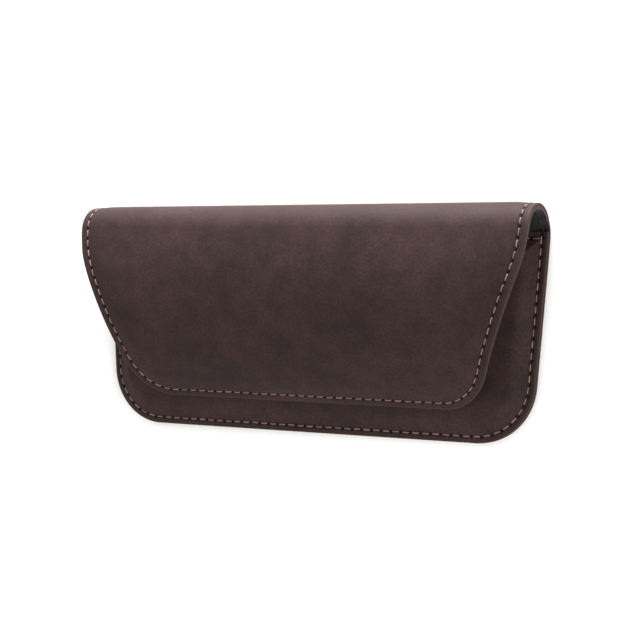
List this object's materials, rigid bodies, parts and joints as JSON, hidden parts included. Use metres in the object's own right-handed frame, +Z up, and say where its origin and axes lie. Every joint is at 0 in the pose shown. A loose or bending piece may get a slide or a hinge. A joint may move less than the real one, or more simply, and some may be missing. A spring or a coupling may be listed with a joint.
{
  "type": "soft glasses case",
  "caption": "Soft pouch case for folded glasses: a sewn pocket, open along one long edge, closed by a fold-over flap held by a hidden magnet.",
  "frame": {"origin": "middle of the resting face, under the middle of the closed case", "axes": "+X along the width, +Y from the bottom seam towards the fold, +Z up from the back panel to the flap"},
  "size_m": [0.175, 0.0785, 0.0217],
  "materials": {
    "leather": "matte brushed coated leather",
    "foam": "closed cell foam sheet",
    "lining": "microfibre suede",
    "thread": "bonded polyester thread",
    "magnet": "nickel plated",
    "patch_cloth": "woven tape"
  },
  "bodies": {
    "pouch": {"back_lining": "lining", "back_outer": "leather", "back_padding": "foam", "front_lining": "lining", "front_magnet": "magnet", "front_magnet_patch": "patch_cloth", "front_outer": "leather", "front_padding": "foam", "mouth_hem_stitching": "thread", "pocket_stitching": "thread"},
    "fold_strip_1": {"fold_lining_1": "lining", "fold_outer_1": "leather", "fold_padding_1": "foam"},
    "fold_strip_2": {"fold_lining_2": "lining", "fold_outer_2": "leather", "fold_padding_2": "foam", "fold_stitching_2": "thread"},
    "fold_strip_3": {"fold_lining_3": "lining", "fold_outer_3": "leather", "fold_padding_3": "foam", "fold_stitching_3": "thread"},
    "fold_strip_4": {"fold_lining_4": "lining", "fold_outer_4": "leather", "fold_padding_4": "foam", "fold_stitching_4": "thread"},
    "fold_strip_5": {"fold_lining_5": "lining", "fold_outer_5": "leather", "fold_padding_5": "foam", "fold_stitching_5": "thread"},
    "fold_strip_6": {"fold_lining_6": "lining", "fold_outer_6": "leather", "fold_padding_6": "foam", "fold_stitching_6": "thread"},
    "fold_strip_7": {"fold_lining_7": "lining", "fold_outer_7": "leather", "fold_padding_7": "foam", "fold_stitching_7": "thread"},
    "fold_strip_8": {"fold_lining_8": "lining", "fold_outer_8": "leather", "fold_padding_8": "foam", "fold_stitching_8": "thread"},
    "flap": {"flap_lining": "lining", "flap_magnet": "magnet", "flap_magnet_patch": "patch_cloth", "flap_outer": "leather", "flap_padding": "foam", "flap_stitching": "thread"}
  },
  "joints": [
    {"name": "fold_hinge_1", "type": "hinge", "parent": "pouch", "child": "fold_strip_1", "pos_m": [0, 0.02915, 0], "axis": [-1, 0, 0], "range_deg": [0, 10.5]},
    {"name": "fold_hinge_2", "type": "hinge", "parent": "fold_strip_1", "child": "fold_strip_2", "pos_m": [0, 0.03273, 0.00066], "axis": [-1, 0, 0], "range_deg": [0, 21]},
    {"name": "fold_hinge_3", "type": "hinge", "parent": "fold_strip_2", "child": "fold_strip_3", "pos_m": [0, 0.03584, 0.00257], "axis": [-1, 0, 0], "range_deg": [0, 21]},
    {"name": "fold_hinge_4", "type": "hinge", "parent": "fold_strip_3", "child": "fold_strip_4", "pos_m": [0, 0.03806, 0.00546], "axis": [-1, 0, 0], "range_deg": [0, 21]},
    {"name": "fold_hinge_5", "type": "hinge", "parent": "fold_strip_4", "child": "fold_strip_5", "pos_m": [0, 0.0391, 0.00895], "axis": [-1, 0, 0], "range_deg": [0, 21]},
    {"name": "fold_hinge_6", "type": "hinge", "parent": "fold_strip_5", "child": "fold_strip_6", "pos_m": [0, 0.03881, 0.01259], "axis": [-1, 0, 0], "range_deg": [0, 21]},
    {"name": "fold_hinge_7", "type": "hinge", "parent": "fold_strip_6", "child": "fold_strip_7", "pos_m": [0, 0.03724, 0.01588], "axis": [-1, 0, 0], "range_deg": [0, 21]},
    {"name": "fold_hinge_8", "type": "hinge", "parent": "fold_strip_7", "child": "fold_strip_8", "pos_m": [0, 0.0346, 0.01839], "axis": [-1, 0, 0], "range_deg": [0, 21]},
    {"name": "fold_hinge_9", "type": "hinge", "parent": "fold_strip_8", "child": "flap", "pos_m": [0, 0.03123, 0.01978], "axis": [-1, 0, 0], "range_deg": [0, 10.5]}
  ],
  "couplings": [
    {"joint": "fold_hinge_2", "follows": "fold_hinge_1", "ratio": 2},
    {"joint": "fold_hinge_3", "follows": "fold_hinge_1", "ratio": 2},
    {"joint": "fold_hinge_4", "follows": "fold_hinge_1", "ratio": 2},
    {"joint": "fold_hinge_5", "follows": "fold_hinge_1", "ratio": 2},
    {"joint": "fold_hinge_6", "follows": "fold_hinge_1", "ratio": 2},
    {"joint": "fold_hinge_7", "follows": "fold_hinge_1", "ratio": 2},
    {"joint": "fold_hinge_8", "follows": "fold_hinge_1", "ratio": 2},
    {"joint": "fold_hinge_9", "follows": "fold_hinge_1", "ratio": 1}
  ]
}
